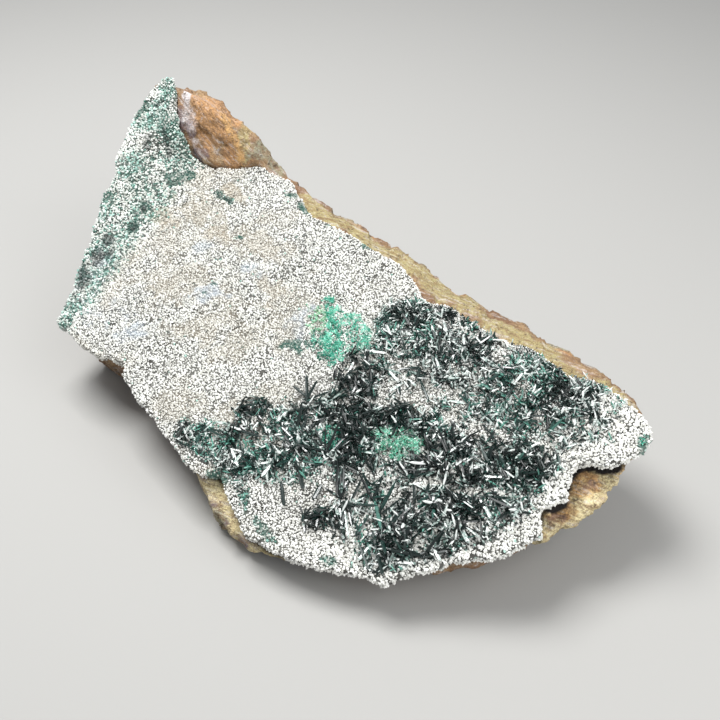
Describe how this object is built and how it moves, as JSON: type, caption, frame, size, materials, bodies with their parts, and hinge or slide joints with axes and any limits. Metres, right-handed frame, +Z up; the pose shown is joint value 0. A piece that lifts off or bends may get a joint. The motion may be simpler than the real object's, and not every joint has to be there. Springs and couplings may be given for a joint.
{
  "type": "mineral specimen with needle crystals on druse-covered matrix",
  "caption": "Broken slab of tan rock with a peak at one end, a pale sugary druse crust over its top, and mats of black-green needle crystals with two emerald tufts.",
  "frame": {"origin": "the point on the floor under the middle of the specimen's box: the rock stands on its flat underside facet, z = 0", "axes": "+Z up; +X to the viewer's right along the slab's run; +Y away from the viewer, towards the peak and the bevelled far rim"},
  "size_m": [0.1516, 0.1531, 0.063],
  "materials": {
    "host_rock": "matte",
    "druse": "satin",
    "dark_crystal": "gloss",
    "green_crystal": "gloss"
  },
  "bodies": {
    "root": {"host_rock": "host_rock", "druse_crust": "druse", "crystal_mat_upper": "dark_crystal", "crystal_mat_centre": "dark_crystal", "crystal_mat_left": "dark_crystal", "crystal_mat_lower": "dark_crystal", "crystal_clump_dark": "dark_crystal", "crystal_clump_edge": "dark_crystal", "green_tuft_upper": "green_crystal", "green_tuft_lower": "green_crystal"}
  },
  "joints": []
}
